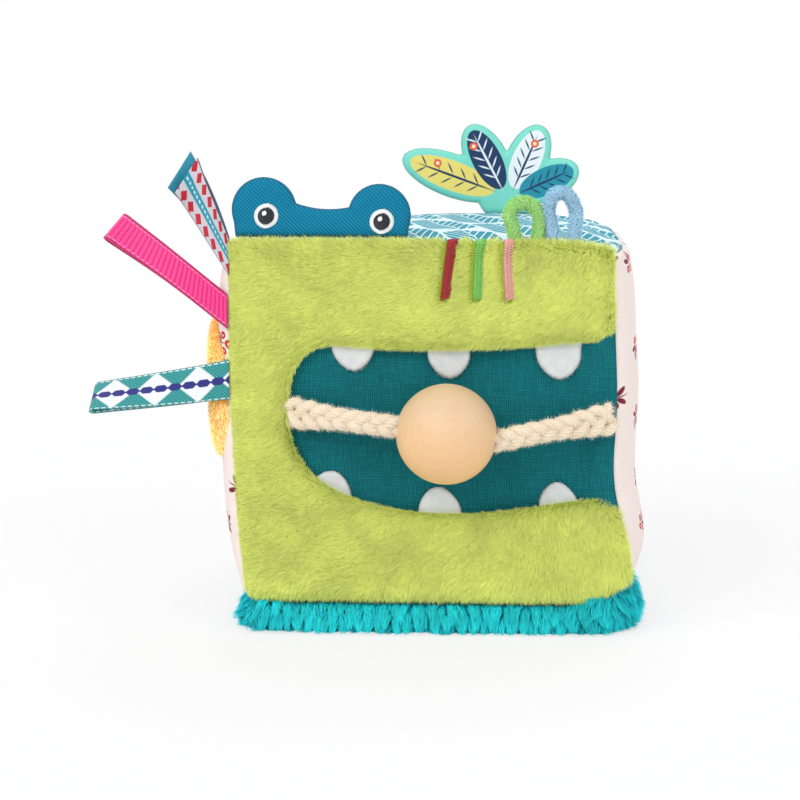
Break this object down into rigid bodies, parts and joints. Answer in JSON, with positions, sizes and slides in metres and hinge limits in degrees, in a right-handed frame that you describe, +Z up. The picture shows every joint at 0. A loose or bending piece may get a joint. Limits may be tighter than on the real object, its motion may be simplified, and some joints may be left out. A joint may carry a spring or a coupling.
{
  "type": "soft activity cube",
  "caption": "Stuffed fabric cube for a baby's hands: a plush face with a mouth, a bead on a cord, padded tabs, cord loops and ribbon tags.",
  "frame": {"origin": "centre of the underside, on the surface that the cube stands on", "axes": "+Z up, the plush face with the mouth faces -Y, +X to the right of that face"},
  "size_m": [0.1825, 0.1589, 0.1644],
  "materials": {
    "lime_plush": "short-pile plush, brushed sideways",
    "turquoise_plush": "long-pile plush",
    "teal_linen": "plain-woven linen",
    "white_felt": "felt",
    "printed_cotton": "printed cotton",
    "teal_printed_cotton": "printed cotton, teal on white",
    "red_thread": "satin stitch",
    "green_thread": "satin stitch",
    "pink_thread": "satin stitch",
    "foam": "open-cell foam",
    "capsule_plastic": "moulded plastic",
    "rattle_ball": "moulded plastic",
    "beech": "turned and oiled beech",
    "cotton_cord": "braided cotton",
    "teal_twill": "twill",
    "white_thread": "satin stitch",
    "black_thread": "satin stitch",
    "printed_tag": "printed satin, padded",
    "green_cord": "braided cord",
    "blue_cord": "braided cord",
    "red_ribbon": "jacquard ribbon",
    "pink_ribbon": "grosgrain ribbon",
    "teal_ribbon": "jacquard ribbon",
    "orange_velour": "velour"
  },
  "bodies": {
    "cube": {"plush_face": "lime_plush", "red_satin_bar": "red_thread", "green_satin_bar": "green_thread", "pink_satin_bar": "pink_thread", "mouth_lining": "teal_linen", "upper_tooth_1": "white_felt", "upper_tooth_2": "white_felt", "upper_tooth_3": "white_felt", "lower_tooth_1": "white_felt", "lower_tooth_2": "white_felt", "lower_tooth_3": "white_felt", "left_panel": "printed_cotton", "right_panel": "printed_cotton", "rear_panel": "printed_cotton", "top_panel": "teal_printed_cotton", "base_plush": "turquoise_plush", "foam_block": "foam", "foam_plug": "foam", "rattle_capsule_lower": "capsule_plastic", "rattle_capsule_upper": "capsule_plastic", "bead_cord": "cotton_cord", "velour_pad": "orange_velour"},
    "bead": {"wooden_bead": "beech"},
    "rattle": {"rattle_ball": "rattle_ball"},
    "eyes": {"eye_tab": "teal_twill", "left_eye_white": "white_thread", "left_pupil": "black_thread", "right_eye_white": "white_thread", "right_pupil": "black_thread"},
    "leaf": {"leaf_tag": "printed_tag"},
    "green_loop": {"green_cord_loop": "green_cord"},
    "blue_loop": {"blue_cord_loop": "blue_cord"},
    "red_tag": {"red_diamond_ribbon": "red_ribbon"},
    "pink_tag": {"pink_ribbon": "pink_ribbon"},
    "teal_tag": {"teal_diamond_ribbon": "teal_ribbon"}
  },
  "joints": [
    {"name": "bead_slide", "type": "slide", "parent": "cube", "child": "bead", "axis": [1, 0, 0], "range_m": [-0.028, 0.032], "deforming": ["bead_cord"]},
    {"name": "rattle_travel", "type": "slide", "parent": "cube", "child": "rattle", "axis": [0, 0, 1], "range_m": [0, 0.019]},
    {"name": "eye_tab_fold", "type": "hinge", "parent": "cube", "child": "eyes", "pos_m": [-0.0382, -0.0608, 0.13057], "axis": [1, 0, 0], "range_deg": [-20, 40], "stiffness_Nm_per_rad": 0.02},
    {"name": "leaf_tag_fold", "type": "hinge", "parent": "cube", "child": "leaf", "pos_m": [0.0221, 0.0608, 0.13057], "axis": [1, 0, 0], "range_deg": [-40, 30], "stiffness_Nm_per_rad": 0.03},
    {"name": "green_loop_fold", "type": "hinge", "parent": "cube", "child": "green_loop", "pos_m": [0.0277, -0.0608, 0.13055], "axis": [1, 0, 0], "range_deg": [-25, 30], "stiffness_Nm_per_rad": 0.005},
    {"name": "blue_loop_fold", "type": "hinge", "parent": "cube", "child": "blue_loop", "pos_m": [0.0409, -0.0608, 0.13029], "axis": [1, 0, 0], "range_deg": [-25, 30], "stiffness_Nm_per_rad": 0.005},
    {"name": "red_ribbon_swing", "type": "hinge", "parent": "cube", "child": "red_tag", "pos_m": [-0.06966, -0.0608, 0.1243], "axis": [0, 0, 1], "range_deg": [-14, 40], "stiffness_Nm_per_rad": 0.01},
    {"name": "pink_ribbon_swing", "type": "hinge", "parent": "cube", "child": "pink_tag", "pos_m": [-0.06975, -0.0608, 0.1079], "axis": [0, 0, 1], "range_deg": [-14, 40], "stiffness_Nm_per_rad": 0.01},
    {"name": "teal_ribbon_swing", "type": "hinge", "parent": "cube", "child": "teal_tag", "pos_m": [-0.06944, -0.0608, 0.084], "axis": [0, 0, 1], "range_deg": [-4, 40], "stiffness_Nm_per_rad": 0.01}
  ]
}
